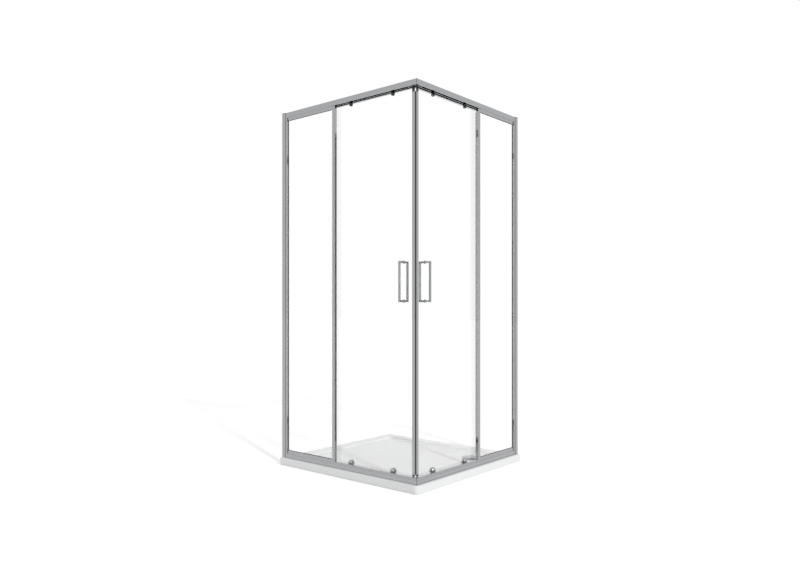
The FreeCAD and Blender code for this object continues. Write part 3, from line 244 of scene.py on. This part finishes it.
def tube(shape, path, radius, sides=8):
    """Closed tube along a list of points."""
    rings = []
    for i, point in enumerate(path):
        ahead = path[min(i + 1, len(path) - 1)] - path[max(i - 1, 0)]
        turn = ahead.to_track_quat("Z", "Y")
        ring = [shape.verts.new(point + turn @ Vector((radius * math.cos(2 * math.pi * k / sides),
                                                       radius * math.sin(2 * math.pi * k / sides), 0.0)))
                for k in range(sides)]
        rings.append(ring)
    for a, b in zip(rings, rings[1:]):
        for k in range(sides):
            shape.faces.new((a[k], a[(k + 1) % sides], b[(k + 1) % sides], b[k]))
    shape.faces.new(list(reversed(rings[0])))
    shape.faces.new(rings[-1])


SPRING_R = 0.00215
WIRE_R = 0.00025
WIRE_SIDES = 6
TURNS, STEPS = 6, 14        # turns of a coil, and points in each turn


def release_springs():
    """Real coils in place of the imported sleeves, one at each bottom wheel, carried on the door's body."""
    for side in SIDES:
        low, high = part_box(side + "_release_springs")
        depth = (low.y + high.y) / 2.0 if side == "left" else (low.x + high.x) / 2.0
        coil_low, coil_high = low.z + WIRE_R, high.z - WIRE_R
        for place in PLACES:
            wheel_low, wheel_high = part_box("%s_bottom_wheel_%s" % (side, place))
            middle = (wheel_low + wheel_high) / 2.0
            centre = Vector((middle.x, depth, 0.0)) if side == "left" else Vector((depth, middle.y, 0.0))
            path = []
            for i in range(TURNS * STEPS + 1):
                share = i / (TURNS * STEPS)
                angle = 2 * math.pi * TURNS * share
                path.append(centre + Vector((SPRING_R * math.cos(angle), SPRING_R * math.sin(angle),
                                             coil_low + (coil_high - coil_low) * share)))
            coil = piece("%s_release_coil_%s" % (side, place),
                         lambda shape: tube(shape, path, WIRE_R, WIRE_SIDES),
                         FINISH["stainless_steel"], side + "_door")
            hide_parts(side + "_release_springs")
            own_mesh(coil)


# ---------------------------------------------------------------- studio
WHITE = (1.0, 1.0, 1.0, 1.0)
WORLD_FILL = 0.5
WORLD_SEEN = 1.0
FLOOR_TONE = (0.85, 0.85, 0.85, 1.0)
FLOOR_LIFT = 0.42           # added to the floor where it is seen
FLOOR_REACH = 30.0
FLOOR_Z = -0.0005


def seen_rays(tree):
    """1 for the rays that show the backdrop: from the camera, in a reflection or through glass."""
    path = node(tree, "ShaderNodeLightPath")
    first = node(tree, "ShaderNodeMath", {0: path.outputs["Is Camera Ray"], 1: path.outputs["Is Glossy Ray"]},
                 operation="MAXIMUM")
    both = node(tree, "ShaderNodeMath", {0: first.outputs[0], 1: path.outputs["Is Transmission Ray"]},
                operation="MAXIMUM")
    return both.outputs[0]


def backdrop():
    world = bpy.data.worlds.new("studio")
    bpy.context.scene.world = world
    world.use_nodes = True
    tree = world.node_tree
    tree.nodes.clear()
    fill = node(tree, "ShaderNodeBackground", {"Color": WHITE, "Strength": WORLD_FILL})
    seen = node(tree, "ShaderNodeBackground", {"Color": WHITE, "Strength": WORLD_SEEN})
    mix = node(tree, "ShaderNodeMixShader", {0: seen_rays(tree), 1: fill.outputs[0], 2: seen.outputs[0]})
    out = node(tree, "ShaderNodeOutputWorld")
    tree.links.new(mix.outputs[0], out.inputs["Surface"])


def floor():
    mesh = bpy.data.meshes.new("studio_floor")
    corners = ((-1, -1), (1, -1), (1, 1), (-1, 1))
    mesh.from_pydata([(FLOOR_REACH * x, FLOOR_REACH * y, FLOOR_Z) for x, y in corners], [], [(0, 1, 2, 3)])
    made = bpy.data.objects.new("studio_floor", mesh)
    bpy.context.scene.collection.objects.link(made)
    mat = bpy.data.materials.new("studio_floor")
    mat.use_nodes = True
    tree = mat.node_tree
    tree.nodes.clear()
    matt = node(tree, "ShaderNodeBsdfDiffuse", {"Color": FLOOR_TONE})
    lift = node(tree, "ShaderNodeMath", {0: seen_rays(tree), 1: FLOOR_LIFT}, operation="MULTIPLY")
    white = node(tree, "ShaderNodeEmission", {"Color": WHITE, "Strength": lift.outputs[0]})
    total = node(tree, "ShaderNodeAddShader", {0: matt.outputs[0], 1: white.outputs[0]})
    out = node(tree, "ShaderNodeOutputMaterial")
    tree.links.new(total.outputs[0], out.inputs["Surface"])
    mesh.materials.append(mat)


SUN_TRAVEL = math.radians(157.5)
SUN_HEIGHT = math.radians(31.0)
SUN_SPREAD = math.radians(5.0)
SUN_ENERGY = 1.5


def key_light():
    lamp = bpy.data.lights.new("key", "SUN")
    lamp.energy = SUN_ENERGY
    lamp.angle = SUN_SPREAD
    made = bpy.data.objects.new("key", lamp)
    bpy.context.scene.collection.objects.link(made)
    travel = Vector((math.cos(SUN_TRAVEL) * math.cos(SUN_HEIGHT), math.sin(SUN_TRAVEL) * math.cos(SUN_HEIGHT),
                     -math.sin(SUN_HEIGHT)))
    made.rotation_mode = "QUATERNION"
    made.rotation_quaternion = travel.to_track_quat("-Z", "Y")


def camera():
    data = bpy.data.cameras.new("camera")
    data.sensor_width = 36.0
    data.lens = FOCAL_PX * data.sensor_width / IMAGE[0]
    data.shift_x = (IMAGE[0] / 2.0 - CENTRE_PX[0]) / IMAGE[0]
    data.shift_y = (CENTRE_PX[1] - IMAGE[1] / 2.0) / IMAGE[0]
    data.clip_start, data.clip_end = 0.05, 200.0
    made = bpy.data.objects.new("camera", data)
    bpy.context.scene.collection.objects.link(made)
    made.location = CAMERA
    made.rotation_mode = "QUATERNION"
    made.rotation_quaternion = Vector((-math.sin(AZIMUTH), math.cos(AZIMUTH), 0.0)).to_track_quat("-Z", "Y")
    bpy.context.scene.camera = made


dress()
release_springs()
backdrop()
floor()
key_light()
camera()
bpy.context.scene.view_settings.view_transform = "Standard"

bpy.context.view_layer.update()
